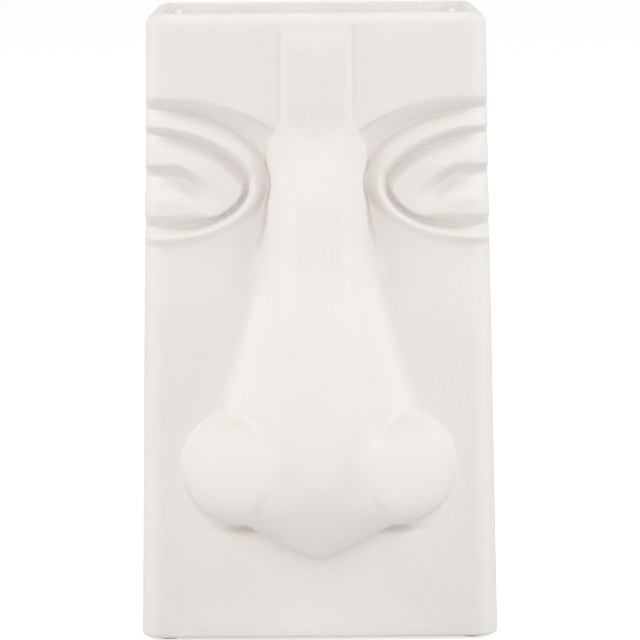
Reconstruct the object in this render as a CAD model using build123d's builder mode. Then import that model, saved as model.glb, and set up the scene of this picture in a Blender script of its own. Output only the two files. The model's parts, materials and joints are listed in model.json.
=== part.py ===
"""A tall rectangular ceramic vase with a face in relief: a long nose and eyes that run off the front corners.

The frame has +Z up and the face towards -Y. The origin lies at the middle of the footprint, nose included,
on the surface that the vase stands on. All sizes are in millimetres.
"""

import os

from build123d import *

# Outer form: a rounded block, a little wider at the foot than at the mouth
body_height = 252.5
base_width = 145.0
mouth_width = 134.5
body_depth = 98.0
corner_radius = 9.0
base_edge_radius = 3.0

# Inside: a cast wall of even thickness, with its own rounder corners
wall = 6.5
floor_thickness = 8.0
inner_corner_radius = 6.0
inner_floor_radius = 4.0
rim_radius = 2.6

# Foot: a flat ring round a shallow recess, with a felt pad under each corner
foot_width = 18.0
foot_recess = 2.0
foot_recess_radius = 6.0
pad_radius = 6.0
pad_thickness = 1.5
pad_inset = 11.0
pad_edge = 0.4

# Glaze coat on the inside
glaze_thickness = 0.5
glaze_below_rim = 1.0

# Nose: a band down the forehead that turns into the nose, narrow at its waist between the eyes,
# with a straight ridge line down to a pointed tip between two wings
nose_reach = 38.0
band_half_width = 13.5
band_reach = 2.5
band_below_rim = 9.0
band_fade = 5.0
band_fade_reach = 0.4
band_ridge_half_width = 11.0
bridge_below_rim = 49.0
bridge_half_width = 18.0
bridge_reach = 4.4
waist_below_rim = 72.0
waist_half_width = 18.0
waist_ridge_half_width = 8.6
cheek_height = 96.0
cheek_half_width = 39.5
cheek_ridge_half_width = 18.3
nose_foot_height = 64.0
nose_foot_half_width = 54.0
nose_foot_ridge_half_width = 23.0
nose_end_height = 46.0
nose_end_half_width = 20.0
nose_end_ridge_half_width = 8.0
nose_end_reach = 30.0
ridge_shoulder = 0.92
nose_flare = 0.3
nose_sink = 0.8
tip_height = 62.0
tip_radius = 26.0
tip_roundness = 26.0
tip_lead = 1.0
wing_height = 74.0
wing_spread = 32.5
wing_radius = 22.5
wing_reach = 25.0

# Inside of the face: a hollow behind the nose and a swelling behind each eye keep the wall even
nose_hollow_below_eye = 21.0
nose_hollow_half_width = 12.0
nose_hollow_ridge_half_width = 5.5
nose_hollow_reach = 4.0
nose_hollow_foot_half_width = 30.0
tip_hollow_radius = 18.5
eye_back_spread = 46.0
eye_back_above_eye = 4.0
eye_back_radius = 42.0
eye_back_rise = 4.5

# Eyes: a socket under the brow, with a ring, an upper lid and an eyeball; heights are from the inner corner
eye_below_rim = 68.0
eye_apex = 67.3
eye_overrun = 14.0
socket_depth = 5.0
socket_draft = 30.0
socket_inner = 18.9
socket_drop = 25.0
socket_bend = 33.0
socket_bend_drop = 17.5
brow_apex = 58.0
brow_rise = 33.8
brow_inner = 17.9
brow_inner_rise = 22.7
ring_inner = 23.7
ring_rise = 24.5
ring_drop = 20.6
ring_radius = 5.2
ring_sink = 1.4
lid_corner = 27.0
lid_rise = 11.5
lid_radius = 4.4
lid_sink = 1.6
eyeball_drop = 8.0
eyeball_radius = 20.0
eyeball_length = 57.0
eyeball_sink = 1.2

# How far added forms run back into the wall behind them
root = 4.0

front_y = (nose_reach - body_depth) / 2
centre_y = front_y + body_depth / 2
base_z = pad_thickness
rim_z = base_z + body_height
floor_z = base_z + floor_thickness
bridge_height = rim_z - bridge_below_rim
waist_height = rim_z - waist_below_rim
eye_height = rim_z - eye_below_rim
eye_back_height = eye_height + eye_back_above_eye
nose_hollow_top = eye_height - nose_hollow_below_eye


def forward(x, z):
    """The plane at a point of the face whose +Z looks out of it."""
    return Plane(origin=(x, front_y, z), x_dir=(1, 0, 0), z_dir=(0, -1, 0))


def backward(x, z):
    """The plane at a point of the face whose +Z looks into the vase."""
    return Plane(origin=(x, front_y, z), x_dir=(1, 0, 0), z_dir=(0, 1, 0))


def tapered_block(bottom_z, inset, radius):
    """The block between bottom_z and the rim, set in from the outer faces by inset."""
    lean = (base_width - mouth_width) / body_height
    half_bottom = (base_width - lean * (bottom_z - base_z)) / 2 - inset
    half_mouth = mouth_width / 2 - inset
    with BuildPart() as block:
        with BuildSketch(forward(0, 0).offset(-inset)):
            with BuildLine():
                Polyline(
                    (-half_bottom, bottom_z),
                    (half_bottom, bottom_z),
                    (half_mouth, rim_z),
                    (-half_mouth, rim_z),
                    close=True,
                )
            make_face()
        extrude(amount=2 * inset - body_depth)
        upright_edges = block.edges().sort_by(SortBy.LENGTH)[-4:]
        fillet(upright_edges, radius)
    return block.part


def lobe(radius, shoulder, reach, back):
    """A round-ended bar on the +Z axis: straight from -back to shoulder, then rounded off to reach."""
    diagonal = 0.5**0.5
    with BuildPart() as bar:
        with BuildSketch(Plane.XZ):
            with BuildLine():
                Polyline((0, reach), (0, -back), (radius, -back), (radius, shoulder))
                Spline(
                    (radius, shoulder),
                    (radius * diagonal, shoulder + (reach - shoulder) * diagonal),
                    (0, reach),
                    tangents=((0, 1), (-1, 0)),
                )
            make_face()
        revolve(axis=Axis.Z)
    return bar.part


def nose_section(height, half_width, ridge, reach, back):
    """A bell-shaped level section of the nose, half_width wide where it sinks in, with its back in the wall."""
    with BuildSketch(Plane.XY.offset(height)) as section:
        with BuildLine():
            Spline(
                (-half_width, front_y + nose_sink),
                (-ridge, front_y - ridge_shoulder * reach),
                (0, front_y - reach),
                (ridge, front_y - ridge_shoulder * reach),
                (half_width, front_y + nose_sink),
                tangents=((1, -nose_flare), (1, nose_flare)),
            )
            Polyline(
                (half_width, front_y + nose_sink),
                (half_width, front_y + back),
                (-half_width, front_y + back),
                (-half_width, front_y + nose_sink),
            )
        make_face()
    return section.sketch


def ridge_reach(height):
    """Reach of the straight ridge line, from the bridge down to the foot of the nose."""
    fall = (bridge_height - height) / (bridge_height - nose_foot_height)
    return bridge_reach + (nose_reach - tip_lead - bridge_reach) * fall


def vase_space(coat):
    """The space inside the shell, hollow behind the nose, taken in by a coat on the wall."""
    inset = wall + coat
    room = tapered_block(floor_z + coat, inset, inner_corner_radius - coat)
    hollow_back = inset + root
    hollow_top = nose_section(
        nose_hollow_top - coat,
        nose_hollow_half_width - coat,
        nose_hollow_ridge_half_width,
        nose_hollow_reach - coat,
        hollow_back,
    )
    hollow_foot = nose_section(
        nose_foot_height,
        nose_hollow_foot_half_width - coat,
        nose_hollow_ridge_half_width,
        nose_reach - tip_lead - inset,
        hollow_back,
    )
    tip_hollow = lobe(tip_hollow_radius - coat, nose_reach - tip_roundness, nose_reach - inset, hollow_back)
    wing_hollow = lobe(wing_radius - inset, 0, wing_reach - inset, hollow_back)
    eye_back = lobe(eye_back_radius + coat, inset, inset + eye_back_rise, root)
    with BuildPart() as space:
        add(room)
        fillet(space.faces().sort_by(Axis.Z)[0].edges(), inner_floor_radius - coat)
        with Locations(backward(-eye_back_spread, eye_back_height), backward(eye_back_spread, eye_back_height)):
            add(eye_back, mode=Mode.SUBTRACT)
        loft(sections=[hollow_top, hollow_foot], ruled=True)
        with Locations(forward(0, tip_height)):
            add(tip_hollow)
        with Locations(forward(-wing_spread, wing_height), forward(wing_spread, wing_height)):
            add(wing_hollow)
    return space.part


# Outer block, before the face is worked into it
face_plane = forward(0, 0)
outer_block = tapered_block(base_z, 0, corner_radius)

# Nose and the band above it, down the middle of the face
band_height = rim_z - band_below_rim
nose_sections = [
    nose_section(band_height + band_fade, band_half_width, band_ridge_half_width, band_fade_reach, root),
    nose_section(band_height, band_half_width, band_ridge_half_width, band_reach, root),
    nose_section(bridge_height, bridge_half_width, band_ridge_half_width, bridge_reach, root),
    nose_section(waist_height, waist_half_width, waist_ridge_half_width, ridge_reach(waist_height), root),
    nose_section(cheek_height, cheek_half_width, cheek_ridge_half_width, ridge_reach(cheek_height), root),
    nose_section(nose_foot_height, nose_foot_half_width, nose_foot_ridge_half_width, nose_reach - tip_lead, root),
    nose_section(nose_end_height, nose_end_half_width, nose_end_ridge_half_width, nose_end_reach, root),
]
tip = lobe(tip_radius, nose_reach - tip_roundness, nose_reach, root)
wing = lobe(wing_radius, 0, wing_reach, root)
with BuildPart() as nose:
    loft(sections=nose_sections, ruled=True)
    with Locations(forward(0, tip_height)):
        add(tip)
    with Locations(forward(-wing_spread, wing_height), forward(wing_spread, wing_height)):
        add(wing)

# Sockets of both eyes, as the clay that is taken out of the block under the brows
side = eye_apex + eye_overrun
eye_centre = (eye_apex, eye_height)
brow_height = eye_height + brow_rise
brow_end = (brow_inner, eye_height + brow_inner_rise)
socket_foot = eye_height - socket_drop
socket_bend_point = (socket_bend, eye_height - socket_bend_drop)
with BuildPart() as sockets:
    with BuildSketch(face_plane):
        with BuildLine():
            Line((side, brow_height), (brow_apex, brow_height))
            brow = TangentArc((brow_apex, brow_height), brow_end, tangent=(-1, 0))
            foot = TangentArc((eye_apex, socket_foot), socket_bend_point, tangent=(-1, 0))
            bend = TangentArc(foot @ 1, (socket_inner, eye_height), tangent=foot % 1)
            Line(brow @ 1, bend @ 1)
            Polyline((eye_apex, socket_foot), (side, socket_foot), (side, brow_height))
        make_face()
    extrude(amount=-socket_depth, taper=socket_draft)
    mirror(about=Plane.YZ)

# Ring round the right eye: a roll along half an ellipse that opens at the side
ring_length = eye_apex - ring_inner
lid_length = eye_apex - lid_corner
lid_arc_radius = (lid_length**2 + lid_rise**2) / (2 * lid_rise)
lid_height = eye_height + lid_rise
eyeball = lobe(eyeball_radius, 0, eyeball_length, eye_overrun)
eyeball_origin = (eye_apex, front_y + eyeball_sink + eyeball_radius, eye_height - eyeball_drop)
with BuildPart() as eye_relief:
    with BuildLine(face_plane.offset(-ring_sink - ring_radius)) as ring_path:
        Line((side, eye_height + ring_rise), (eye_apex, eye_height + ring_rise))
        EllipticalCenterArc(eye_centre, ring_length, ring_rise, 90, arc_size=90)
        EllipticalCenterArc(eye_centre, ring_length, ring_drop, 180, arc_size=90)
        Line((eye_apex, eye_height - ring_drop), (side, eye_height - ring_drop))
    with BuildSketch(Plane(origin=ring_path.line @ 0, z_dir=ring_path.line % 0)):
        Circle(ring_radius)
    sweep()
    # Upper lid, from the side down to the inner corner of the eye
    with BuildLine(face_plane.offset(-lid_sink - lid_radius)) as lid_path:
        Line((side, lid_height), (eye_apex, lid_height))
        RadiusArc((eye_apex, lid_height), (lid_corner, eye_height), -lid_arc_radius)
    with BuildSketch(Plane(origin=lid_path.line @ 0, z_dir=lid_path.line % 0)):
        Circle(lid_radius)
    sweep()
    # Eyeball under the lid
    with Locations(Plane(origin=eyeball_origin, z_dir=(-1, 0, 0))):
        add(eyeball)
    mirror(about=Plane.YZ)
    add(outer_block, mode=Mode.INTERSECT)

# Shell: the block with its face, hollowed from the mouth
bare_space = vase_space(0)
with BuildPart() as ceramic_body:
    add(outer_block)
    fillet(ceramic_body.faces().sort_by(Axis.Z)[0].edges(), base_edge_radius)
    add(sockets.part, mode=Mode.SUBTRACT)
    add(eye_relief.part)
    add(nose.part)
    add(bare_space, mode=Mode.SUBTRACT)
    fillet(ceramic_body.faces().filter_by(Axis.Z).sort_by(Axis.Z)[-1].edges(), rim_radius)
    with BuildSketch(Plane.XY.offset(base_z)):
        with Locations((0, centre_y)):
            RectangleRounded(base_width - 2 * foot_width, body_depth - 2 * foot_width, foot_recess_radius)
    extrude(amount=foot_recess, mode=Mode.SUBTRACT)

# Glaze coat on the inside, up to just below the rounded rim
coated_space = vase_space(glaze_thickness)
with BuildPart() as glaze_lining:
    add(bare_space)
    add(coated_space, mode=Mode.SUBTRACT)
    split(bisect_by=Plane.XY.offset(rim_z - rim_radius - glaze_below_rim), keep=Keep.BOTTOM)

os.makedirs("parts", exist_ok=True)

ceramic_body.part.label = "ceramic_body"
export_step(ceramic_body.part, "parts/ceramic_body.step")

glaze_lining.part.label = "glaze_lining"
export_step(glaze_lining.part, "parts/glaze_lining.step")

# Felt pads under the four corners of the foot
pad_x = base_width / 2 - pad_inset
pad_y = body_depth / 2 - pad_inset
pad_places = {
    "foot_pad_front_left": (-pad_x, centre_y - pad_y),
    "foot_pad_front_right": (pad_x, centre_y - pad_y),
    "foot_pad_back_left": (-pad_x, centre_y + pad_y),
    "foot_pad_back_right": (pad_x, centre_y + pad_y),
}
for pad_name, (x, y) in pad_places.items():
    with BuildPart() as foot_pad:
        with BuildSketch():
            with Locations((x, y)):
                Circle(pad_radius)
        extrude(amount=pad_thickness)
        fillet(foot_pad.edges().group_by(Axis.Z)[0], pad_edge)
    foot_pad.part.label = pad_name
    export_step(foot_pad.part, f"parts/{pad_name}.step")
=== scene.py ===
"""Looks of the face vase, built around its packed frame. Laid out as an add-on and run as a script."""

import json
import math

import bmesh
import bpy
import numpy as np
from bpy.props import FloatProperty, FloatVectorProperty, IntProperty, PointerProperty
from mathutils import Matrix, Vector

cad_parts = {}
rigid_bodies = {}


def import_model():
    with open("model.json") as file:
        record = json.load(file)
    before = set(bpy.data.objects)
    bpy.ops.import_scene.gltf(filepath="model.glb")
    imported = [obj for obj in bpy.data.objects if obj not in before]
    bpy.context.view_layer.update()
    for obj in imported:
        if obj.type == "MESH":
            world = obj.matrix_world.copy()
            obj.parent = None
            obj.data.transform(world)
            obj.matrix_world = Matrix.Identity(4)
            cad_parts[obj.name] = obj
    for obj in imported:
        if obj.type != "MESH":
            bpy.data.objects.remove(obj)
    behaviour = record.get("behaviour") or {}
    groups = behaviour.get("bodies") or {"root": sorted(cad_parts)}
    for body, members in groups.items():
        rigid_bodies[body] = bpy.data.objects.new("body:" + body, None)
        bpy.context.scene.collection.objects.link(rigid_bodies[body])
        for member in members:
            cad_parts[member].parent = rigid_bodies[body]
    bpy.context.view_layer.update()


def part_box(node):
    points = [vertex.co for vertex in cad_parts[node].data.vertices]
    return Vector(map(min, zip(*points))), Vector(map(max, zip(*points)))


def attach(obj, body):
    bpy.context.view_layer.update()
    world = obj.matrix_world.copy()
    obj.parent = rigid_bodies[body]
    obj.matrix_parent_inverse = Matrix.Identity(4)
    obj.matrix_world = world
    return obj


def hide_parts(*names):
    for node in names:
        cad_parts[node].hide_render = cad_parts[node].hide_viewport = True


bl_info = {
    "name": "Face vase",
    "version": (1, 0, 0),
    "blender": (4, 5, 0),
    "location": "3D View > Sidebar > Vase",
    "description": "Models a matte ceramic vase with a face in relief, its glaze lining and its felt pads",
    "category": "Object",
}

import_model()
shell_low, shell_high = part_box("ceramic_body")
pad_low, pad_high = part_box("foot_pad_front_left")

MM = 0.001
BODY = "root"
TINY = 1e-6
PAD_NODES = ("foot_pad_front_left", "foot_pad_front_right", "foot_pad_back_left", "foot_pad_back_right")


# Kinds of property


def length(name, description, millimetres):
    """A size in metres, given in millimetres."""
    default = millimetres * MM
    return FloatProperty(name=name, description=description, default=default, unit="LENGTH", precision=5)


def number(name, description, value):
    """A plain number, such as a share of another size."""
    return FloatProperty(name=name, description=description, default=value)


def count(name, description, value):
    """A number of segments."""
    return IntProperty(name=name, description=description, default=value, min=1)


def colour(name, description, value):
    """A linear colour."""
    return FloatVectorProperty(name=name, description=description, default=value, subtype="COLOR", size=3)


# Sizes and colours that a user would change


class VaseBodySizes(bpy.types.PropertyGroup):
    """Sizes of the cast shell."""

    base_z: length("Base height", "Underside of the foot", shell_low.z / MM)
    rim_z: length("Rim height", "Top of the rim", shell_high.z / MM)
    back_y: length("Back", "Back face", shell_high.y / MM)
    base_width: length("Base width", "Width at the foot", 145)
    mouth_width: length("Mouth width", "Width at the rim", 134.5)
    depth: length("Depth", "Front face to back face, without the nose", 98)
    corner_radius: length("Corner radius", "Radius of the upright corners", 9)
    wall: length("Wall", "Thickness of the cast wall", 6.5)
    floor_thickness: length("Floor", "Thickness of the floor", 8)
    rim_radius: length("Rim radius", "Rounding of the rim's outer edge", 4.6)
    mouth_radius: length("Mouth radius", "Rounding of the rim's inner edge", 1.6)
    rim_segments: count("Rim segments", "Steps of the rounding of the rim's outer edge", 8)
    edge_segments: count("Edge segments", "Steps of the rounding of the mouth and of the base", 4)
    floor_segments: count("Floor segments", "Steps of the rounding at the floor", 5)
    foot_segments: count("Foot segments", "Steps of the rounding of the recess", 2)
    base_radius: length("Base radius", "Rounding of the base edge", 1.2)
    floor_radius: length("Floor radius", "Rounding where the inside meets the floor", 4)
    foot_width: length("Foot width", "Width of the flat ring under the base", 18)
    foot_recess: length("Foot recess", "Depth of the recess under the base", 2)
    foot_edge: length("Foot edge", "Rounding of the recess edges", 0.7)
    front_columns: count("Front columns", "Columns of faces across each half of the front", 98)
    side_columns: count("Side columns", "Columns of faces across each side and the back", 6)
    corner_columns: count("Corner columns", "Columns of faces round each corner", 10)
    inside_rows: count("Inside rows", "Rows of faces up the inside", 60)


class VaseNoseSizes(bpy.types.PropertyGroup):
    """Sizes of the nose and the band above it, from the front face, the middle and the floor."""

    band_half: length("Band half width", "Half the width of the forehead band", 14)
    band_reach: length("Band reach", "How far the band stands out", 1.7)
    band_edge: length("Band edge", "Width of the band's sloping edge", 3)
    band_groove: length("Band groove", "Depth of the fine groove along the band", 0.35)
    band_top: length("Band top", "Height where the band starts, under the rim", 251)
    band_end: length("Band end", "Height where the band starts to turn into the nose", 214)
    root_z: length("Nose root", "Height where the nose leaves the brow", 199)
    root_reach: length("Root reach", "Reach of the ridge line at the root", 5.4)
    root_dip: length("Root dip", "Depth of the shallow dip at the root", 3)
    root_share: number("Root share", "Share of the flank's S-curve that shows above the cheeks", 0.75)
    cheek_z: length("Cheek height", "Height under which the flanks run out softly into the cheeks", 140)
    cheek_run: length("Cheek run", "Length over which they start to do so", 40)
    foot_half: length("Foot half width", "Half width at the foot of the flanks, between the eyes", 24)
    ridge_half: length("Ridge half width", "Half width of the flat ridge there", 5)
    spread_z: length("Spread height", "Height under which the nose grows wider", 168)
    spread_run: length("Spread run", "Length over which it does so, down to the wings", 70)
    spread: number("Spread", "Growth of the foot's half width for each length down, by the wings", 0.26)
    ridge_spread: number("Ridge spread", "Growth of the ridge's half width for each length down", 0.08)
    ridge_reach: length("Ridge reach", "Reach of the ridge line at the tip's height", 40)
    wall: number("Wall", "Steepness of the flanks under the face", 4)
    socket_wall: number("Socket wall", "Steepness of the flanks where the eye's outer crease cuts them", 6)
    tip_z: length("Tip height", "Height of the tip's centre", 78)
    tip_reach: length("Tip reach", "Reach of the tip", 38.5)
    tip_drop: length("Tip drop", "Tip's centre to the point of its lower edge, a rounded V", 43)
    tip_side: length("Tip side", "Half width over which that V would close at its full height", 77)
    tip_point: length("Tip point", "Rounding of the V's point", 6)
    tip_roundness: number("Tip roundness", "Fullness of the tip, where 2 is a ball", 2)
    wing_x: length("Wing spread", "Wing's centre from the middle", 31.5)
    wing_z: length("Wing height", "Height of the wing's centre", 72.2)
    wing_radius: length("Wing radius", "Radius of the wing on the face", 23.8)
    wing_start: length("Wing start", "Where the wing reaches highest, from the middle", 12)
    wing_reach: length("Wing reach", "Reach of the wing's middle", 28)
    wing_lean: number("Wing lean", "Fall of the wing away from the tip, as rise over run", 0.5)
    wing_roundness: number("Wing roundness", "Fullness of the wings, where 2 is a ball", 2.6)
    nostril: length("Nostril", "Depth of the nostril, a slot under the wing", 4)
    nostril_z: length("Nostril height", "Height of that slot", 46.8)
    draft: number("Draft", "Steepest side wall, as rise over run", 5)
    tip_blend: length("Tip blend", "Size of the soft join of the ridge with the tip", 8)
    wing_blend: length("Wing blend", "Size of the soft join of the flanks with the wings", 6)
    foot_blend: length("Foot blend", "Size of the join of the other edges with the face", 1.2)


class VaseEyeSizes(bpy.types.PropertyGroup):
    """Sizes of the eye on the right, from the middle and the floor. The other eye mirrors it."""

    apex_x: length("Apex", "Where the eye is highest, at the corner of the vase", 67.3)
    centre_z: length("Centre", "Height of the eye's inner end", 186.3)
    crease_length: length("Crease length", "Outer crease, from its apex to its inner end", 48.4)
    crease_rise: length("Crease rise", "Outer crease above its centre", 29.3)
    crease_drop: length("Crease drop", "Outer crease below its centre", 25.8)
    brow_x: length("Brow apex", "Highest point of the brow, from the middle", 58)
    brow_top: length("Brow height", "Height of that point", 221)
    brow_radius: length("Brow radius", "Radius of the brow's arc", 70)
    brow_depth: length("Brow depth", "Depth of the crease under the brow", 7.2)
    corner_x: length("Inner corner", "Inner corner of the lids, from the middle", 28.3)
    lid_z: length("Lid end", "Height of the upper lid's arc at that corner", 188)
    lid_top: length("Lid top", "Top of the upper lid's arc", 205.5)
    foot_x: length("Lower lid apex", "Lowest point of the lower lid, from the middle", 60)
    foot_drop: length("Lower lid drop", "Eye's centre to that point", 17.9)
    deep: length("Deep crease", "Depth of the lids' creases", 7.8)
    corner_deep: length("Corner depth", "More depth of those creases at the inner corner", 1.2)
    ring_crest: length("Ring crest", "Depth of the ring's crest over the eye", 1.2)
    ring_foot: length("Ring foot", "Depth of the ring's crest under the eye", 0.3)
    cheek_depth: length("Cheek depth", "Depth of the cheek under the ring", 2.8)
    cheek_fade: length("Cheek fade", "Run of the cheek back to the front face", 30)
    middle: length("Middle", "Depth of the eye between its lids, at the inner corner", 3.2)
    open_start: length("Opening start", "Inner end of the opening between the lids, from the middle", 37)
    open_run: length("Opening run", "Length over which it opens outwards", 20)
    open_z: length("Opening height", "Height of the upper lid's lower edge at the inner end", 184.4)
    open_rise: length("Opening rise", "Rise of that edge on the way out", 9.9)
    lid_crest: length("Lid crest", "Depth of the upper lid's lower edge", 1)
    lid_width: length("Lid width", "Upper lid's crease to its lower edge", 11)
    lid_under: length("Lid underside", "Height of the steep slope under that edge", 5.4)
    hollow: length("Hollow", "Depth of the hollow under the upper lid", 8.4)
    ball_crest: length("Eyeball crest", "Depth of the eyeball's crest", 1.4)
    ball_rise: length("Eyeball rise", "Height of the eyeball's upper slope", 10.5)
    ball_under: length("Eyeball underside", "Lower lid's crease to the eyeball's crest", 5.5)
    groove: length("Groove", "Half width of the lower lid's crease at the inner corner", 1)


class VaseFinish(bpy.types.PropertyGroup):
    """Colours and surface of the finishes."""

    ceramic: colour("Ceramic", "Matte body", (0.86, 0.826, 0.80))
    ceramic_shade: colour("Ceramic shade", "Slightly duller patches of the body", (0.845, 0.808, 0.78))
    ceramic_roughness: number("Ceramic roughness", "Roughness of the matte body", 0.62)
    glaze: colour("Glaze", "Gloss coat inside", (0.87, 0.84, 0.81))
    glaze_roughness: number("Glaze roughness", "Roughness of the gloss coat", 0.38)
    glaze_thickness: length("Glaze thickness", "Thickness of the gloss coat", 0.45)
    felt_fray: length("Felt fray", "Unevenness of the pads", 0.05)
    felt_edge: length("Felt edge", "Rounding of the pads' edges", 0.35)
    felt_margin: length("Felt margin", "Pads' outline inside that of the solids", 0.1)
    felt: colour("Felt", "Pads under the foot", (0.70, 0.67, 0.62))


class VaseStageSizes(bpy.types.PropertyGroup):
    """Camera, floor and lamps."""

    camera_distance: length("Camera distance", "Camera to the front face", 1200)
    camera_height: length("Camera height", "Camera above the floor", 317)
    camera_side: number("Camera side", "Angle of the camera round the vase, in degrees", -0.2)
    camera_aim: length("Camera aim", "Place on the front face at the middle of the picture", 0.8)
    camera_pitch: number("Camera pitch", "Downward tilt of the camera, in degrees", 8.77)
    camera_roll: number("Camera roll", "Turn of the camera about its line of sight, in degrees", -0.4)
    camera_lens: number("Camera lens", "Focal length in millimetres on a 36 mm sensor", 171)
    sky: number("Sky", "Strength of the even light all round", 0.48)
    front_power: number("Front lamp", "Power of the lamp over the camera, in watts", 10.5)
    side_power: number("Side lamps", "Power of each lamp at the sides, in watts", 14)
    front_lift: number("Front lamp lift", "Angle of the front lamp over the level, in degrees", 16)
    side_lift: number("Side lamp lift", "Angle of the side lamps over the level, in degrees", 34)
    side_turn: number("Side lamp turn", "Angle of the side lamps round the vase, in degrees", 80)
    lamp_distance: length("Lamp distance", "Lamps to the vase", 2000)
    lamp_size: length("Lamp size", "Width of the soft lamps", 1000)
    floor: colour("Floor", "Pale floor", (0.74, 0.74, 0.74))
    floor_lift: number("Floor lift", "White added to the floor as the camera sees it", 0.62)


# Help for modelling


def start_piece(name):
    """Names the primitive that was just added and opens it for modelling."""
    piece = bpy.context.active_object
    piece.name = name
    piece.data.name = name
    bpy.ops.object.mode_set(mode="EDIT")
    return piece


def clear_selection():
    """Leaves edit mode and deselects everything."""
    if bpy.context.mode != "OBJECT":
        bpy.ops.object.mode_set(mode="OBJECT")
    bpy.ops.object.select_all(action="DESELECT")


def select_only(piece, kind, parts, test):
    """Selects only those faces or edges of a mesh that pass a test."""
    bpy.ops.mesh.select_mode(type=kind)
    bpy.ops.mesh.select_all(action="DESELECT")
    edit = bmesh.from_edit_mesh(piece.data)
    found = [part for part in getattr(edit, parts) if test(part)]
    if not found:
        raise RuntimeError(f"none of the {parts} found on {piece.name}")
    for part in found:
        part.select_set(True)
    bmesh.update_edit_mesh(piece.data)


def pick_faces(piece, test):
    """Selects only the faces whose middle and number of sides pass the test."""
    select_only(piece, "FACE", "faces", lambda face: test(face.calc_center_median(), len(face.verts)))


def pick_edges(piece, test):
    """Selects only the edges whose two ends pass the test."""
    select_only(piece, "EDGE", "edges", lambda edge: test(edge.verts[0].co, edge.verts[1].co))


def extrude_up(rise, wide=1.0, deep=1.0, centre=(0, 0, 0)):
    """Extrudes the selected face upwards and scales its copy about a centre."""
    bpy.ops.mesh.extrude_region_move(TRANSFORM_OT_translate={"value": (0, 0, rise)})
    bpy.ops.transform.resize(value=(wide, deep, 1), center_override=centre)


def near(a, b, slack=0.02 * MM):
    """Whether two lengths are the same."""
    return abs(a - b) < slack


def read_points(piece):
    """Places of a mesh's points, one row each."""
    flat = np.empty(len(piece.data.vertices) * 3, np.float32)
    piece.data.vertices.foreach_get("co", flat)
    return flat.reshape(-1, 3).astype(float)


def write_points(piece, points):
    """Puts a mesh's points in new places."""
    piece.data.vertices.foreach_set("co", points.astype(np.float32).ravel())
    piece.data.update()


def hand_over(piece, node, material):
    """Makes a finished piece stand for a CAD node, with its finish."""
    piece.data.materials.clear()
    piece.data.materials.append(material)
    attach(piece, BODY)
    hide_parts(node)


# Relief of the face, as heights over the front face in metres


def smooth_max(a, b, size):
    """The higher of two heights, with a soft join."""
    overlap = np.clip(size - np.abs(a - b), 0, None) / size
    return np.maximum(a, b) + overlap**2 * size / 4


def smooth_min(a, b, size):
    """The lower of two heights, with a soft join."""
    return -smooth_max(-a, -b, size)


def ease(t):
    """0 to 1 with level ends."""
    t = np.clip(t, 0, 1)
    return t * t * (3 - 2 * t)


def soft_step(t):
    """0 to 1 with level ends that also start and stop bending softly."""
    t = np.clip(t, 0, 1)
    return t**3 * (10 - 15 * t + 6 * t**2)


def swell(t):
    """0 to 1 with a sharp start and a level end."""
    return np.sin(np.clip(t, 0, 1) * math.pi / 2)


def slope_up(t):
    """0 to 1 with a sharp start, a straight slope and a rounded end."""
    rounded = 0.35
    return mix(np.clip(t, 0, 1), swell(t), rounded)


def mix(a, b, t):
    """a at 0 and b at 1."""
    return a + (b - a) * t


def bell(distance, size):
    """1 in the middle and fading to 0 over about twice the size."""
    return np.exp(-((distance / size) ** 2))


def dome(nose, out, reach, size, roundness):
    """Rounded form by share of the way out to its outline. Outside it, it dips under the face."""
    top = reach * np.sqrt(np.clip(1 - out**roundness, 0, None))
    wall = nose.draft * size * (1 - out)
    shoulder = 3 * MM
    return smooth_min(top, wall, shoulder)


def beside_eyes(nose, z):
    """1 at the height of the eyes and 0 at that of the cheeks."""
    return ease((z - nose.cheek_z) / nose.cheek_run)


def nose_ridge(nose, u, z):
    """Band from the rim down, which turns into the straight nose, with flanks that run on under the face."""
    band_start = 12 * MM
    dip_rise = 3.5 * MM
    dip_height = 11 * MM
    dip_half = 8 * MM
    on_nose = ease((nose.band_end - z) / (nose.band_end - nose.root_z))
    by_eyes = beside_eyes(nose, z)
    below = np.clip(nose.spread_z - z, 0, nose.spread_run)
    share = mix(1, nose.root_share, by_eyes)
    band_flat = nose.band_half - nose.band_edge
    flat = mix(band_flat, nose.ridge_half + nose.ridge_spread * below, on_nose)
    widening = nose.spread * below * np.sqrt(below / nose.spread_run)
    foot = mix(band_flat + nose.band_edge / share, nose.foot_half + widening, on_nose)
    edge = flat + share * (foot - flat)
    line = mix(nose.root_reach, nose.ridge_reach, (nose.root_z - z) / (nose.root_z - nose.tip_z))
    reach = mix(nose.band_reach * ease((nose.band_top - z) / band_start), line, on_nose)
    fall = soft_step((np.minimum(u, edge) - flat) / (foot - flat)) / soft_step(share)
    dip = nose.root_dip * bell(z - nose.root_z - dip_rise, dip_height) * bell(u, dip_half)
    return reach * (1 - fall) - dip - mix(1, nose.wall, by_eyes) * np.clip(u - edge, 0, None)


def tip_out(nose, u, z):
    """Share of the way out to the tip's lower edge, a rounded V."""
    drop = np.clip(nose.tip_z - z, 0, None) / nose.tip_drop
    return drop + (np.hypot(u, nose.tip_point) - nose.tip_point) / nose.tip_side


def wing_out(nose, u, z):
    """Share of the way out to a wing's outline, which is open towards the middle."""
    return np.hypot(np.clip(u - nose.wing_x, 0, None), z - nose.wing_z) / nose.wing_radius


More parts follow.
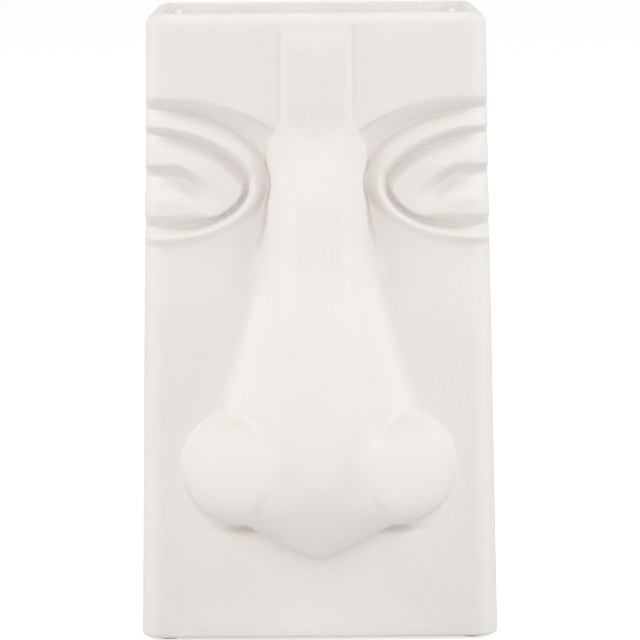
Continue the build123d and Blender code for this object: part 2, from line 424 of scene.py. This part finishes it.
def nose_height(nose, u, z, ground, crease_in):
    """All the forms of the nose together, on the ground that they stand on."""
    nostril_half = 7 * MM
    nostril_height = 1.3 * MM
    inner_roundness = 4
    roundness_run = 26 * MM
    under_tip = 2 * MM
    free_start = 18 * MM
    free_run = 12 * MM
    slope_run = 25 * MM
    crease_margin = MM
    wing_reach = nose.wing_reach - nose.wing_lean * (np.maximum(u, nose.wing_start) - nose.wing_x)
    wing_reach = wing_reach - np.clip(nose.wing_start - u, 0, None)
    slot = bell(u - nose.wing_x, nostril_half) * bell(z - nose.nostril_z, nostril_height)
    ground = ground - nose.nostril * slot
    tip = dome(nose, tip_out(nose, u, z), nose.tip_reach, nose.tip_drop, nose.tip_roundness)
    roundness = mix(inner_roundness, nose.wing_roundness, ease((u - nose.wing_start) / roundness_run))
    wing = dome(nose, wing_out(nose, u, z), wing_reach, nose.wing_radius, roundness)
    inside = smooth_min(wing, tip - under_tip, under_tip)
    wing = mix(inside, wing, ease((u - free_start) / free_run))
    ridge = smooth_min(nose_ridge(nose, u, z), tip, nose.tip_blend)
    ridge = ridge - nose.socket_wall * np.clip(crease_in + crease_margin, 0, None)
    slope = nose.wing_reach - nose.wing_lean * (u - nose.wing_x)
    beside_wing = ease((nose.wing_z + nose.wing_radius - z) / slope_run)
    ridge = mix(ridge, smooth_min(ridge, slope, nose.wing_blend), beside_wing)
    joined = smooth_max(ridge, wing, nose.foot_blend)
    by_eyes = beside_eyes(nose, z)
    flank = mix(ground + np.clip(ridge, 0, None), smooth_max(ridge, ground, nose.foot_blend), by_eyes)
    return np.maximum(flank, np.where(wing > 0, joined, ground))


def ellipse_in(across, up, wide, high):
    """Distance inwards from an ellipse, about true near its outline."""
    out = np.hypot(across / wide, up / high) + TINY
    slope = np.hypot(across / wide**2, up / high**2) / out + TINY
    return (1 - out) / slope


def arc_in(across, up, radius):
    """Distance inwards from the arc of a circle whose top is at the start."""
    return radius - np.hypot(across, up + radius)


def eye_lines(eye, u, z):
    """Distances inwards from the eye's lines: the brow, the outer crease, the upper lid and the lower lid."""
    side = np.minimum(u, eye.apex_x)
    up = z - eye.centre_z
    rise = np.where(up > 0, eye.crease_rise, eye.crease_drop)
    crease_in = ellipse_in(side - eye.apex_x, up, eye.crease_length, rise)
    brow_in = arc_in(np.minimum(side, eye.brow_x) - eye.brow_x, z - eye.brow_top, eye.brow_radius)
    lid_run = eye.apex_x - eye.corner_x
    lid_height = eye.lid_top - eye.lid_z
    lid_radius = (lid_run**2 + lid_height**2) / (2 * lid_height)
    upper_in = arc_in(side - eye.apex_x, z - eye.lid_top, lid_radius)
    foot_run = eye.foot_x - eye.corner_x
    foot_side = np.minimum(side, eye.foot_x) - eye.foot_x
    lower_in = ellipse_in(foot_side, np.minimum(up, 0), foot_run, eye.foot_drop)
    return brow_in, crease_in, upper_in, lower_in


def ring_depth(eye, upper, by_nose, deep, edge, crease_in, leaf_in):
    """Ring between the outer crease and the lids, by share of the way out."""
    crest_share_below = 0.43
    crest_share_above = 0.38
    inner_fullness_below = 0.4
    inner_fullness_above = 0.9
    outer_fullness_above = 0.5
    outer_fullness_by_nose = 0.8
    out = np.clip(-leaf_in, 0, None)
    t = out / (out + np.clip(crease_in, 0, None) + TINY)
    crest = mix(crest_share_below, crest_share_above, upper)
    top = mix(eye.ring_foot, eye.ring_crest, upper)
    back = np.clip((1 - t) / (1 - crest), 0, 1)
    inner_fullness = mix(1, mix(inner_fullness_below, inner_fullness_above, upper), by_nose)
    outer_fullness = mix(1, outer_fullness_by_nose, by_nose)
    outer_rise = mix(ease(back), slope_up(back) ** outer_fullness_above, upper)
    inner_side = mix(deep, top, slope_up(t / crest) ** inner_fullness)
    outer_side = mix(edge, top, outer_rise**outer_fullness)
    return np.where(t < crest, inner_side, outer_side)


def lid_depth(eye, u, z, deep, upper_in, lower_in):
    """Upper lid, the hollow under it and the eyeball, which all open outwards from the inner corner."""
    deepen_start = eye.open_start + MM
    deepen_run = 0.75 * eye.open_run
    lid_end_share = 0.3
    lid_fullness = 0.5
    ball_start = 0.85 * eye.lid_under
    edge_rise = ease((u - eye.open_start) / eye.open_run)
    under_edge = eye.open_z + eye.open_rise * edge_rise - z
    opened = ease((u - deepen_start) / deepen_run)
    hollow = mix(eye.middle, eye.hollow, opened)
    ball_crest = mix(eye.middle, eye.ball_crest, opened)
    lid_width = eye.lid_width * mix(lid_end_share, 1, opened)
    lid = mix(deep, mix(eye.middle, eye.lid_crest, opened), slope_up(upper_in / lid_width) ** lid_fullness)
    depth = mix(lid, hollow, slope_up(under_edge / eye.lid_under))
    depth = depth - (hollow - ball_crest) * ease((under_edge - ball_start) / eye.ball_rise)
    foot = mix(deep, ball_crest, slope_up(lower_in / mix(eye.groove, eye.ball_under, opened)))
    return np.maximum(depth, foot)


def eye_depth(eye, u, z, lines):
    """Depth of the eye's forms under the front face."""
    upper_start = eye.centre_z - 6 * MM
    upper_run = 14 * MM
    nose_side = 20 * MM
    nose_run = 15 * MM
    brow_run = 25 * MM
    corner_half = 10 * MM
    brow_softness = (0.5, 1.4)
    longer_by_nose = 1.6
    brow_in, crease_in, upper_in, lower_in = lines
    upper = ease((z - upper_start) / upper_run)
    by_nose = 1 - ease((u - nose_side) / nose_run)
    cheek_edge = mix(eye.cheek_depth, eye.brow_depth, by_nose)
    leaf_in = np.minimum(upper_in, lower_in)
    deep = eye.deep + eye.corner_deep * bell(u - eye.corner_x, corner_half)
    edge = mix(cheek_edge, eye.brow_depth, upper)
    ring = ring_depth(eye, upper, by_nose, deep, edge, crease_in, leaf_in)
    lids = lid_depth(eye, u, z, deep, upper_in, lower_in)
    gap = np.clip(-crease_in, 0, None)
    down = np.clip(brow_in, 0, None)
    softness = mix(*brow_softness, ease((u - nose_side) / brow_run))
    brow = eye.brow_depth * (down / (down + gap + TINY)) ** softness
    cheek = cheek_edge * (1 - ease(gap / (eye.cheek_fade * mix(1, longer_by_nose, by_nose))))
    depth = np.where(leaf_in < 0, ring, lids)
    depth = np.where(crease_in < 0, mix(cheek, brow, upper), depth)
    return np.clip(depth, 0, None)


def face_height(nose, eye, x, z):
    """Whole relief at a place on the front."""
    groove_end = nose.root_z + 8 * MM
    groove_fade = 8 * MM
    groove_top_fade = 4 * MM
    groove_half = 0.7 * MM
    u = np.abs(x)
    lines = eye_lines(eye, u, z)
    height = nose_height(nose, u, z, -eye_depth(eye, u, z, lines), lines[1])
    beside_band = ease((z - groove_end) / groove_fade) * ease((nose.band_top - z) / groove_top_fade)
    return height - nose.band_groove * beside_band * bell(u - nose.band_half, groove_half)


def soft_face_height(nose, eye, x, z):
    """The relief, averaged over a patch the size of the mesh's own faces."""
    step = 0.25 * MM
    steps = [(a, b) for a in (-step, 0, step) for b in (-step, 0, step)]
    return sum(face_height(nose, eye, x + a, z + b) for a, b in steps) / len(steps)


def crowd(out):
    """Scale that draws places near an outline closer to it, so that the steep wall there gets more faces."""
    pull = 0.75
    pull_width = 0.22
    least_out = 0.05
    gap = out - 1
    return (1 + gap * (1 - pull * bell(gap, pull_width))) / np.maximum(out, least_out)


def crowd_to_outlines(nose, x, z):
    """Draws the front's columns and rows towards the outer edges of the wings and the tip."""
    wing_fan = 0.6
    wing_run = 12 * MM
    tip_run = 10 * MM
    tip_half = 22 * MM
    tip_fade = 8 * MM
    sign = np.where(x < 0, -1.0, 1.0)
    u = np.abs(x)
    across = u - nose.wing_x
    up = z - nose.wing_z
    by_wing = ease((across + wing_fan * np.abs(up)) / wing_run)
    scale = mix(1.0, crowd(wing_out(nose, u, z)), by_wing)
    u = nose.wing_x + across * scale
    z = nose.wing_z + up * scale
    by_tip = ease((nose.tip_z - z) / tip_run) * (1 - ease((u - tip_half) / tip_fade))
    scale = mix(1.0, crowd(tip_out(nose, u, z)), by_tip)
    return sign * u * scale, nose.tip_z + (z - nose.tip_z) * scale


def vase_width(body, z):
    """Outer width of the tapered body at a height."""
    lean = (body.base_width - body.mouth_width) / (body.rim_z - body.base_z)
    return body.base_width - lean * (z - body.base_z)


def inset_from_outline(body, points):
    """How far each point lies inside the outline of the outer wall."""
    x, y, z = points.T
    across = np.abs(x) - vase_width(body, z) / 2 + body.corner_radius
    along = np.abs(y - body.back_y + body.depth / 2) - body.depth / 2 + body.corner_radius
    corner = np.hypot(np.clip(across, 0, None), np.clip(along, 0, None))
    return body.corner_radius - corner - np.minimum(np.maximum(across, along), 0)


def work_face(body, nose, eye, points):
    """Works the face into the outer wall of the front, and lets the inner wall follow it."""
    side_run = 25 * MM
    skin = 0.5 * MM
    front_slack = 0.1 * MM
    inner_start = 4 * MM
    inner_softness = 4 * MM
    inner_places = 8
    front_y = body.back_y - body.depth
    inset = inset_from_outline(body, points)
    setback = points[:, 1] - front_y
    on_rim = points[:, 2] > body.rim_z - body.rim_radius
    on_side = ease((setback - body.corner_radius) / side_run)
    outer = (inset < np.where(on_rim, body.rim_radius, skin)) & (on_side < 1)
    front = outer & (setback < body.corner_radius - front_slack)
    points[front, 0], points[front, 2] = crowd_to_outlines(nose, points[front, 0], points[front, 2])
    height = soft_face_height(nose, eye, points[outer, 0], points[outer, 2])
    height = height * (1 - np.clip(inset[outer] / body.rim_radius, 0, 1)) * (1 - on_side[outer])
    points[outer, 1] -= height

    inside_low = body.base_z + body.floor_thickness + body.floor_radius
    inside_high = body.rim_z - body.mouth_radius
    inner = (inset > inner_start) & (setback < body.wall + body.corner_radius)
    inner &= (points[:, 2] > inside_low) & (points[:, 2] < inside_high)
    x, y, z = points[inner].T
    turns = np.linspace(0, 2 * math.pi, inner_places, endpoint=False)
    steps = [(inner_softness * math.cos(turn), inner_softness * math.sin(turn)) for turn in turns]
    height = np.min([face_height(nose, eye, x + a, z + b) for a, b in steps], axis=0)
    lowered = np.maximum(setback[inner], body.wall + np.clip(-height, 0, None))
    points[inner, 1] = front_y + lowered - np.clip(height, 0, None)


# Materials


def add_node(tree, kind, values):
    """A node whose inputs, by name or number, are set to values or linked to other nodes' outputs."""
    node = tree.nodes.new(kind)
    for key, value in values.items():
        if isinstance(value, bpy.types.NodeSocket):
            tree.links.new(value, node.inputs[key])
        else:
            node.inputs[key].default_value = value
    return node


def new_material(name):
    """A material with its main shader and the piece's own coordinates."""
    material = bpy.data.materials.new(name)
    material.use_nodes = True
    tree = material.node_tree
    tree.nodes.clear()
    shader = add_node(tree, "ShaderNodeBsdfPrincipled", {})
    add_node(tree, "ShaderNodeOutputMaterial", {"Surface": shader.outputs["BSDF"]})
    place = add_node(tree, "ShaderNodeTexCoord", {}).outputs["Object"]
    return material, shader, place


def noise(material, place, scale, detail, roughness=0.5):
    """Noise from 0 to 1, with scale in features per metre."""
    values = {"Vector": place, "Scale": scale, "Detail": detail, "Roughness": roughness}
    return add_node(material.node_tree, "ShaderNodeTexNoise", values).outputs["Fac"]


def spread(material, value, low, high, to_low, to_high):
    """Spreads a value from one range to another."""
    values = {"Value": value, "From Min": low, "From Max": high, "To Min": to_low, "To Max": to_high}
    return add_node(material.node_tree, "ShaderNodeMapRange", values).outputs["Result"]


def combine(tree, operation, first, second):
    """One sum on two values; each is a number or an output."""
    node = add_node(tree, "ShaderNodeMath", {0: first, 1: second})
    node.operation = operation
    return node.outputs["Value"]


def mix_colours(material, factor, first, second):
    """Two colours mixed by a factor; the first may be an output."""
    if not isinstance(first, bpy.types.NodeSocket):
        first = (*first, 1)
    colour_a, colour_b, colour_result = 6, 7, 2
    values = {"Factor": factor, colour_a: first, colour_b: (*second, 1)}
    node = add_node(material.node_tree, "ShaderNodeMix", values)
    node.data_type = "RGBA"
    return node.outputs[colour_result]


def bump(material, height, strength, distance, below=None):
    """A bump from a height, on top of another bump."""
    values = {"Height": height, "Strength": strength, "Distance": distance}
    if below is not None:
        values["Normal"] = below
    return add_node(material.node_tree, "ShaderNodeBump", values).outputs["Normal"]


def pinholes(material, place, per_metre, radius):
    """1 in a few tiny holes of the cast surface and 0 elsewhere."""
    cells_left_whole = 0.62
    tree = material.node_tree
    cells = add_node(tree, "ShaderNodeTexVoronoi", {"Vector": place, "Scale": per_metre})
    reach = radius * per_metre
    hole = spread(material, cells.outputs["Distance"], reach * 0.5, reach, 1, 0)
    chosen = combine(tree, "GREATER_THAN", cells.outputs["Color"], cells_left_whole)
    return combine(tree, "MULTIPLY", hole, chosen)


def tinted(tone, factor):
    """A colour made lighter or darker."""
    return tuple(min(1.0, factor * part) for part in tone)


def matte_ceramic(finish):
    """Cast body without glaze: warm white, faintly cloudy, with a dry fine grain and a few pinholes, whose
    insides are painted darker as shade.
    """
    material, shader, place = new_material("matte_ceramic")
    links = material.node_tree.links
    clouds = noise(material, place, 28, 3)
    wipe = noise(material, place, 220, 2)
    grain = noise(material, place, 1500, 3, 0.6)
    holes = pinholes(material, place, 62, 0.32 * MM)
    patch = spread(material, clouds, 0.35, 0.68, 0, 1)
    body = mix_colours(material, patch, finish.ceramic, finish.ceramic_shade)
    # Painted shade: the pinholes are coloured darker, standing in for the shade inside them.
    body = mix_colours(material, holes, body, tinted(finish.ceramic_shade, 0.62))
    links.new(body, shader.inputs["Base Color"])
    low = finish.ceramic_roughness - 0.05
    high = finish.ceramic_roughness + 0.06
    links.new(spread(material, wipe, 0.3, 0.7, low, high), shader.inputs["Roughness"])
    soft = bump(material, wipe, 0.10, 0.12 * MM)
    fine = bump(material, grain, 0.16, 0.06 * MM, soft)
    pits = combine(material.node_tree, "MULTIPLY", holes, -1)
    links.new(bump(material, pits, 0.6, 0.25 * MM, fine), shader.inputs["Normal"])
    shader.inputs["Specular IOR Level"].default_value = 0.28
    return material


def gloss_glaze(finish):
    """Clear gloss over the same body, a little warmer where it pools."""
    material, shader, place = new_material("gloss_glaze")
    links = material.node_tree.links
    pool = noise(material, place, 34, 2)
    ripple = noise(material, place, 90, 2)
    thick = spread(material, pool, 0.35, 0.7, 0, 1)
    body = mix_colours(material, thick, finish.glaze, tinted(finish.glaze, 0.95))
    links.new(body, shader.inputs["Base Color"])
    low = finish.glaze_roughness - 0.03
    high = finish.glaze_roughness + 0.05
    links.new(spread(material, ripple, 0.3, 0.7, low, high), shader.inputs["Roughness"])
    links.new(bump(material, ripple, 0.08, 0.4 * MM), shader.inputs["Normal"])
    shader.inputs["Coat Weight"].default_value = 0.5
    shader.inputs["Coat Roughness"].default_value = 0.06
    return material


def pressed_felt(finish):
    """Short pressed fibres, tangled, with lighter ends."""
    material, shader, place = new_material("pressed_felt")
    links = material.node_tree.links
    fibres = noise(material, place, 2600, 4, 0.7)
    tangle = noise(material, place, 500, 3)
    tone = spread(material, fibres, 0.3, 0.7, 0, 1)
    body = mix_colours(material, tone, tinted(finish.felt, 0.82), tinted(finish.felt, 1.14))
    links.new(body, shader.inputs["Base Color"])
    first = bump(material, tangle, 0.5, 0.3 * MM)
    links.new(bump(material, fibres, 0.7, 0.2 * MM, first), shader.inputs["Normal"])
    shader.inputs["Roughness"].default_value = 0.95
    shader.inputs["Sheen Weight"].default_value = 0.35
    shader.inputs["Sheen Roughness"].default_value = 0.5
    return material


# Pieces


def wall_bands(body):
    """Bands of the outer wall: the top of each and its rows of faces, with most rows on the relief."""
    rim_rows = 18
    tops = [(36, 12), (62, 44), (100, 46), (155, 34), (189, 56), (223, 56)]
    return [(top * MM, rows) for top, rows in tops] + [(body.rim_z, rim_rows)]


def level(a, b, z):
    """Whether both ends of an edge lie at one height."""
    return near(a.z, z) and near(b.z, z)


class VASE_OT_ceramic_body(bpy.types.Operator):
    """Model the cast shell and work the face into its front"""

    bl_idname = "vase.ceramic_body"
    bl_label = "Ceramic body"

    def execute(self, context):
        body = context.scene.vase_body
        shell = self.outline(body)
        self.walls(shell, body)
        self.edges(shell, body)
        self.rows(shell, body)
        bpy.ops.mesh.select_all(action="SELECT")
        bpy.ops.mesh.normals_make_consistent(inside=False)
        bpy.ops.object.mode_set(mode="OBJECT")
        points = read_points(shell)
        work_face(body, context.scene.vase_nose, context.scene.vase_eyes, points)
        write_points(shell, points)
        bpy.ops.object.shade_smooth()
        hand_over(shell, "ceramic_body", matte_ceramic(context.scene.vase_finish))
        return {"FINISHED"}

    def outline(self, body):
        """Outline of the foot: a rectangle with rounded corners, cut into columns."""
        middle_y = body.back_y - body.depth / 2
        front_y = body.back_y - body.depth
        clear_selection()
        bpy.ops.mesh.primitive_plane_add(size=1)
        shell = start_piece("vase_shell")
        bpy.ops.mesh.select_mode(type="VERT")
        bpy.ops.mesh.select_all(action="SELECT")
        bpy.ops.transform.resize(value=(body.base_width, body.depth, 1))
        bpy.ops.transform.translate(value=(0, middle_y, body.base_z))
        bpy.ops.mesh.bevel(offset=body.corner_radius, segments=body.corner_columns, affect="VERTICES")
        pick_edges(shell, lambda a, b: near(a.y, front_y) and near(b.y, front_y))
        bpy.ops.mesh.subdivide(number_cuts=1)
        pick_edges(shell, lambda a, b: near(a.y, front_y) and near(b.y, front_y))
        bpy.ops.mesh.subdivide(number_cuts=body.front_columns - 1)
        pick_edges(shell, lambda a, b: near(a.y, body.back_y) and near(b.y, body.back_y))
        bpy.ops.mesh.subdivide(number_cuts=body.side_columns - 1)
        for side in (-body.base_width / 2, body.base_width / 2):
            pick_edges(shell, lambda a, b: near(a.x, side) and near(b.x, side))
            bpy.ops.mesh.subdivide(number_cuts=body.side_columns - 1)
        return shell

    def walls(self, shell, body):
        """Outer wall in bands, then the rim, the inner wall and floor, and the recess under the foot."""
        middle_y = body.back_y - body.depth / 2
        pick_faces(shell, lambda middle, sides: sides > 4)
        low = body.base_z
        for top, _ in wall_bands(body):
            extrude_up(top - low, vase_width(body, top) / vase_width(body, low), 1, (0, middle_y, top))
            low = top
        floor_z = body.base_z + body.floor_thickness
        mouth = body.mouth_width - 2 * body.wall
        inner_depth = body.depth - 2 * body.wall
        inner_base = vase_width(body, floor_z) - 2 * body.wall
        extrude_up(0, mouth / body.mouth_width, inner_depth / body.depth, (0, middle_y, body.rim_z))
        extrude_up(floor_z - body.rim_z, inner_base / mouth, 1, (0, middle_y, floor_z))
        pick_faces(shell, lambda middle, sides: near(middle.z, body.base_z))
        ring_wide = 1 - 2 * body.foot_width / body.base_width
        ring_deep = 1 - 2 * body.foot_width / body.depth
        extrude_up(0, ring_wide, ring_deep, (0, middle_y, body.base_z))
        extrude_up(body.foot_recess)

    def edges(self, shell, body):
        """Rounds the rim, the floor, the base and the recess, and marks where the glaze ends."""
        floor_z = body.base_z + body.floor_thickness
        recess_z = body.base_z + body.foot_recess
        glaze_z = body.rim_z - body.mouth_radius

        skin = 0.5 * MM
        past_rim = body.rim_radius + skin
        past_wall = 10 * MM
        inside = 3 * MM
        far = 1.0
        roundings = (
            (body.rim_z, -far, skin, body.rim_radius, body.rim_segments),
            (body.rim_z, past_rim, far, body.mouth_radius, body.edge_segments),
            (floor_z, -far, far, body.floor_radius, body.floor_segments),
            (recess_z, -far, far, body.foot_edge, body.foot_segments),
            (body.base_z, past_wall, far, body.foot_edge, body.foot_segments),
            (body.base_z, -far, skin, body.base_radius, body.edge_segments),
        )
        for z, least, most, radius, segments in roundings:
            self.pick_level(shell, body, z, least, most)
            bpy.ops.mesh.bevel(offset=radius, segments=segments, affect="EDGES")
        self.pick_level(shell, body, glaze_z, inside, far)
        bpy.ops.mesh.mark_seam()

    def pick_level(self, shell, body, z, least, most):
        """Selects the edges at one height whose ends lie within a range of insets from the outline."""

        def wanted(a, b):
            if not level(a, b, z):
                return False
            inset = inset_from_outline(body, np.array([a, b]))
            return least < min(inset) and max(inset) < most

        pick_edges(shell, wanted)

    def rows(self, shell, body):
        """Cuts the upright edges of each band, and then those of the inside, into rows."""
        low = body.base_z
        for top, rows in wall_bands(body):
            self.cut_upright(shell, low, top, rows)
            low = top
        self.cut_upright(shell, body.base_z + body.floor_thickness, body.rim_z, body.inside_rows)

    def cut_upright(self, shell, low, high, rows):
        """Cuts the edges that climb most of the way from one height to another."""
        most = 0.7
        climb = most * (high - low)
        pick_edges(
            shell,
            lambda a, b: abs(a.z - b.z) > climb and min(a.z, b.z) > low - MM and max(a.z, b.z) < high + MM,
        )
        bpy.ops.mesh.subdivide(number_cuts=rows - 1)


class VASE_OT_glaze_lining(bpy.types.Operator):
    """Coat the inside of the shell with gloss glaze"""

    bl_idname = "vase.glaze_lining"
    bl_label = "Glaze lining"

    def execute(self, context):
        body = context.scene.vase_body
        finish = context.scene.vase_finish
        floor_z = body.base_z + body.floor_thickness
        shell = bpy.data.objects["vase_shell"]
        before = set(bpy.data.objects)
        clear_selection()
        context.view_layer.objects.active = shell
        shell.select_set(True)
        bpy.ops.object.mode_set(mode="EDIT")
        pick_faces(shell, lambda middle, sides: near(middle.z, floor_z))
        bpy.ops.mesh.select_linked(delimit={"SEAM"})
        bpy.ops.mesh.duplicate()
        bpy.ops.mesh.separate(type="SELECTED")
        clear_selection()
        (lining,) = set(bpy.data.objects) - before
        for key in list(lining.keys()):
            del lining[key]
        lining.name = "glaze_coat"
        lining.data.name = "glaze_coat"
        context.view_layer.objects.active = lining
        lining.select_set(True)
        coat = lining.modifiers.new("coat", "SOLIDIFY")
        coat.thickness = finish.glaze_thickness
        coat.offset = 1
        bpy.ops.object.modifier_apply(modifier=coat.name)
        hand_over(lining, "glaze_lining", gloss_glaze(finish))
        return {"FINISHED"}


class VASE_OT_felt_pads(bpy.types.Operator):
    """Model one felt pad and put a copy under each corner"""

    bl_idname = "vase.felt_pads"
    bl_label = "Felt pads"

    def execute(self, context):
        finish = context.scene.vase_finish
        felt = pressed_felt(finish)
        columns = 72
        rings = 5
        radius = (pad_high.x - pad_low.x) / 2
        thickness = pad_high.z - pad_low.z
        ring_width = radius / 6.5
        outer = 0.95 * radius
        clear_selection()
        pad_radius = radius - finish.felt_margin
        bpy.ops.mesh.primitive_cylinder_add(vertices=columns, radius=pad_radius, depth=thickness)
        first = start_piece("felt_pad")
        bpy.ops.mesh.select_all(action="SELECT")
        bpy.ops.transform.translate(value=(0, 0, thickness / 2))
        pick_edges(first, lambda a, b: abs(a.z - b.z) > thickness / 2)
        bpy.ops.mesh.subdivide(number_cuts=3)
        for side in (0, thickness):
            pick_faces(first, lambda middle, sides: sides > 4 and near(middle.z, side))
            for _ in range(rings):
                bpy.ops.mesh.inset(thickness=ring_width)

        def on_outer_edge(a, b):
            flat = level(a, b, 0) or level(a, b, thickness)
            return flat and min(a.xy.length, b.xy.length) > outer

        pick_edges(first, on_outer_edge)
        bpy.ops.mesh.bevel(offset=finish.felt_edge, segments=3, affect="EDGES")
        bpy.ops.mesh.select_all(action="SELECT")
        bpy.ops.mesh.normals_make_consistent(inside=False)
        bpy.ops.transform.vertex_random(offset=finish.felt_fray, uniform=1.0, seed=4)
        bpy.ops.object.mode_set(mode="OBJECT")
        bpy.ops.object.shade_smooth()
        for node in PAD_NODES:
            low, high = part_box(node)
            pad = first.copy()
            pad.data = first.data.copy()
            pad.name = node.replace("foot_pad", "felt_pad")
            pad.data.name = pad.name
            context.scene.collection.objects.link(pad)
            pad.data.transform(Matrix.Translation(((low.x + high.x) / 2, (low.y + high.y) / 2, low.z)))
            hand_over(pad, node, felt)
        bpy.data.objects.remove(first)
        return {"FINISHED"}


# Stage


def white_for_camera(tree):
    """1 for rays that see the backdrop directly, in gloss or through glass, and 0 for light."""
    path = add_node(tree, "ShaderNodeLightPath", {})
    total = path.outputs["Is Camera Ray"]
    for ray in ("Is Glossy Ray", "Is Transmission Ray"):
        total = combine(tree, "MAXIMUM", total, path.outputs[ray])
    return total


class VASE_OT_stage(bpy.types.Operator):
    """Set the camera, the floor, the lamps and the sky"""

    bl_idname = "vase.stage"
    bl_label = "Stage"

    def execute(self, context):
        stage = context.scene.vase_stage
        self.camera(context, stage)
        self.floor(stage)
        self.lamps(context, stage)
        self.sky(context, stage)
        context.scene.view_settings.view_transform = "Standard"
        return {"FINISHED"}

    def camera(self, context, stage):
        """A long lens a little above the rim, almost square to the face."""
        body = context.scene.vase_body
        front_y = body.back_y - body.depth
        side = math.radians(stage.camera_side)
        eye_x = stage.camera_distance * math.sin(side)
        eye_y = front_y - stage.camera_distance * math.cos(side)
        turn = math.atan2(eye_x - stage.camera_aim, front_y - eye_y)
        camera = bpy.data.objects.new("camera", bpy.data.cameras.new("camera"))
        context.scene.collection.objects.link(camera)
        camera.data.lens = stage.camera_lens
        camera.data.sensor_width = 36
        camera.data.clip_end = 100
        camera.matrix_world = (
            Matrix.Translation((eye_x, eye_y, stage.camera_height))
            @ Matrix.Rotation(turn, 4, "Z")
            @ Matrix.Rotation(math.radians(90 - stage.camera_pitch), 4, "X")
            @ Matrix.Rotation(math.radians(stage.camera_roll), 4, "Z")
        )
        context.scene.camera = camera

    def floor(self, stage):
        """A wide pale floor that keeps the shadow and runs out to white."""
        clear_selection()
        floor_size = 60
        bpy.ops.mesh.primitive_plane_add(size=floor_size)
        floor = start_piece("floor")
        bpy.ops.object.mode_set(mode="OBJECT")
        material = bpy.data.materials.new("pale_floor")
        material.use_nodes = True
        tree = material.node_tree
        tree.nodes.clear()
        pale = add_node(tree, "ShaderNodeBsdfDiffuse", {"Color": (*stage.floor, 1)})
        seen = combine(tree, "MULTIPLY", white_for_camera(tree), stage.floor_lift)
        lift = add_node(tree, "ShaderNodeEmission", {"Strength": seen})
        both = add_node(tree, "ShaderNodeAddShader", {0: pale.outputs["BSDF"], 1: lift.outputs["Emission"]})
        add_node(tree, "ShaderNodeOutputMaterial", {"Surface": both.outputs["Shader"]})
        floor.data.materials.append(material)

    def lamps(self, context, stage):
        """Soft lamps in front and at both sides, well above the vase."""
        body = context.scene.vase_body
        middle = Vector((0, body.back_y - body.depth, body.rim_z / 2))
        lamps = {
            "front_lamp": (0, stage.front_lift, stage.front_power),
            "left_lamp": (-stage.side_turn, stage.side_lift, stage.side_power),
            "right_lamp": (stage.side_turn, stage.side_lift, stage.side_power),
        }
        for name, (turn, lift, power) in lamps.items():
            lamp = bpy.data.lights.new(name, "AREA")
            lamp.size = stage.lamp_size
            lamp.energy = power
            holder = bpy.data.objects.new(name, lamp)
            context.scene.collection.objects.link(holder)
            turn = Matrix.Rotation(math.radians(turn), 3, "Z")
            lift = Matrix.Rotation(math.radians(-lift), 3, "X")
            way = turn @ lift @ Vector((0, -1, 0))
            holder.location = middle + stage.lamp_distance * way
            holder.rotation_euler = (-way).to_track_quat("-Z", "Y").to_euler()

    def sky(self, context, stage):
        """Even white light all round, and plain white behind the vase."""
        world = bpy.data.worlds.new("studio")
        world.use_nodes = True
        context.scene.world = world
        tree = world.node_tree
        tree.nodes.clear()
        white = (1, 1, 1, 1)
        light = add_node(tree, "ShaderNodeBackground", {"Color": white, "Strength": stage.sky})
        backdrop = add_node(tree, "ShaderNodeBackground", {"Color": white})
        choose = add_node(tree, "ShaderNodeMixShader", {"Fac": white_for_camera(tree)})
        tree.links.new(light.outputs["Background"], choose.inputs[1])
        tree.links.new(backdrop.outputs["Background"], choose.inputs[2])
        add_node(tree, "ShaderNodeOutputWorld", {"Surface": choose.outputs["Shader"]})


# Panel and registration


class VASE_PT_pieces(bpy.types.Panel):
    """Sizes of the vase and the buttons that model its pieces"""

    bl_idname = "VASE_PT_pieces"
    bl_label = "Face vase"
    bl_space_type = "VIEW_3D"
    bl_region_type = "UI"
    bl_category = "Vase"

    def draw(self, context):
        layout = self.layout
        for operator in OPERATORS:
            layout.operator(operator.bl_idname)
        for attribute, group in GROUPS.items():
            box = layout.box()
            box.label(text=group.__doc__)
            for key in group.__annotations__:
                box.prop(getattr(context.scene, attribute), key)


GROUPS = {
    "vase_body": VaseBodySizes,
    "vase_nose": VaseNoseSizes,
    "vase_eyes": VaseEyeSizes,
    "vase_finish": VaseFinish,
    "vase_stage": VaseStageSizes,
}
OPERATORS = (VASE_OT_ceramic_body, VASE_OT_glaze_lining, VASE_OT_felt_pads, VASE_OT_stage)


def register():
    for attribute, group in GROUPS.items():
        bpy.utils.register_class(group)
        setattr(bpy.types.Scene, attribute, PointerProperty(type=group))
    for item in (*OPERATORS, VASE_PT_pieces):
        bpy.utils.register_class(item)


def unregister():
    for item in (*OPERATORS, VASE_PT_pieces):
        bpy.utils.unregister_class(item)
    for attribute, group in GROUPS.items():
        delattr(bpy.types.Scene, attribute)
        bpy.utils.unregister_class(group)


def main():
    register()
    bpy.ops.vase.ceramic_body()
    bpy.ops.vase.glaze_lining()
    bpy.ops.vase.felt_pads()
    bpy.ops.vase.stage()


if __name__ == "__main__":
    main()
